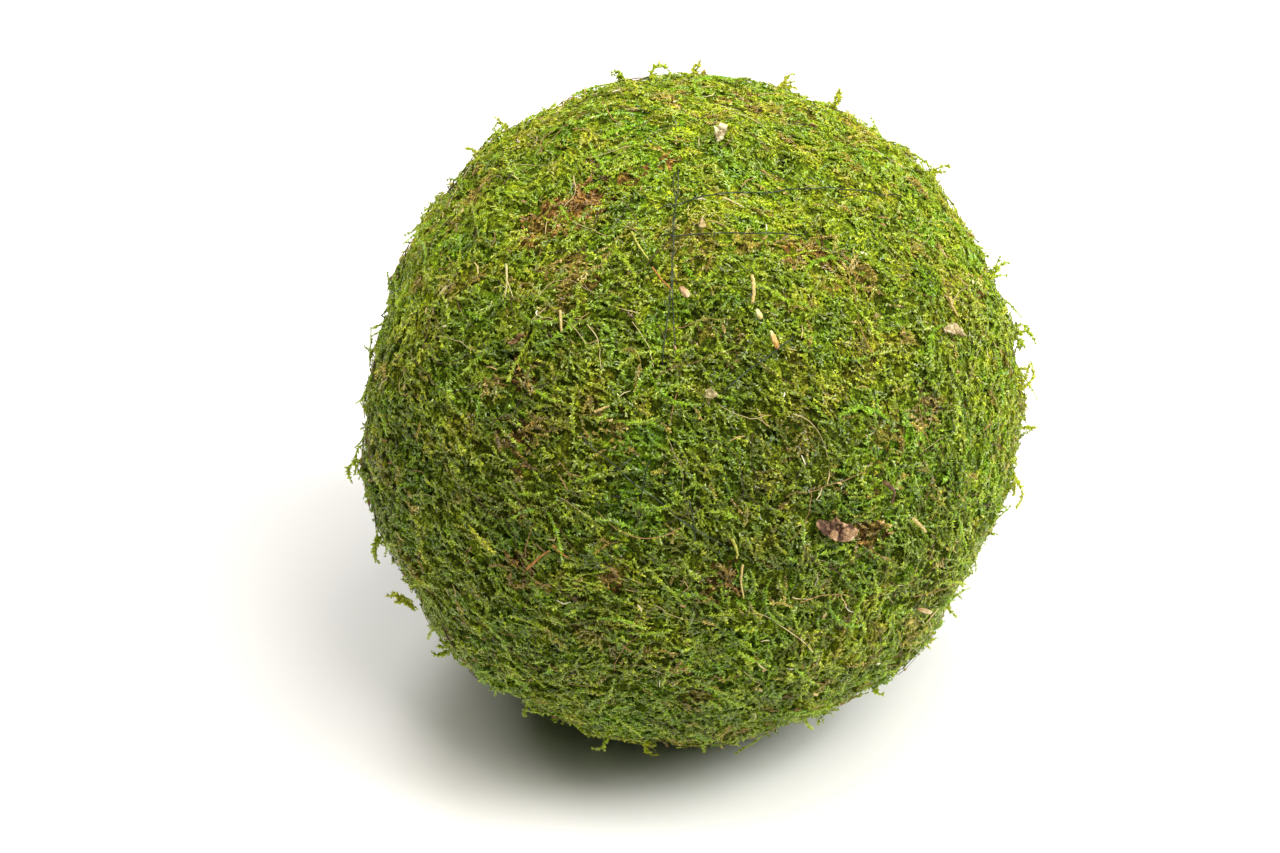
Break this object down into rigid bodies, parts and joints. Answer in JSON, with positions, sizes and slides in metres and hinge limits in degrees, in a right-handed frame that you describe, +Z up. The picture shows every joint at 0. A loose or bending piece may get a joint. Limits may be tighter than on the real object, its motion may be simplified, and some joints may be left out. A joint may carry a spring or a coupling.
{
  "type": "moss ball",
  "caption": "Round ball of pressed sheet moss with a shaggy leafy surface, bound with thin green thread and flecked with bits of bark, straw and husk; rests on a small flattened patch.",
  "frame": {"origin": "middle of the flattened patch that the ball rests on", "axes": "+Z up, through the ball's centre; -Y towards the picture's camera"},
  "size_m": [0.1347, 0.1306, 0.1282],
  "materials": {
    "moss": "matte",
    "thread": "satin",
    "straw": "matte",
    "pale_litter": "matte",
    "yellow_stem": "matte",
    "bark": "matte",
    "husk": "satin",
    "brown_litter": "matte"
  },
  "bodies": {
    "root": {"moss_ball": "moss", "thread_turn_1": "thread", "thread_turn_2": "thread", "thread_turn_3": "thread", "thread_turn_4": "thread", "thread_turn_5": "thread", "thread_turn_6": "thread", "pale_stem_upper": "pale_litter", "pale_stem_lower": "yellow_stem", "straw_upright": "straw", "pale_needle": "pale_litter", "forked_stalk": "pale_litter", "tan_strip": "straw", "curled_frond": "brown_litter", "brown_needle": "brown_litter", "crossed_needle": "brown_litter", "yellow_catkin": "yellow_stem", "pale_root": "pale_litter", "yellow_stem": "yellow_stem", "tan_stick": "brown_litter", "straw_right": "straw", "dark_stalk": "brown_litter", "short_straw": "straw", "orange_strand": "brown_litter", "orange_husk": "husk", "pink_husk": "husk", "pale_husk": "pale_litter", "rose_husk": "husk", "bark_flake": "bark", "leaf_scrap": "pale_litter", "scale_shard": "pale_litter", "rose_flake": "bark", "white_scrap": "pale_litter", "brown_flake": "bark"}
  },
  "joints": []
}
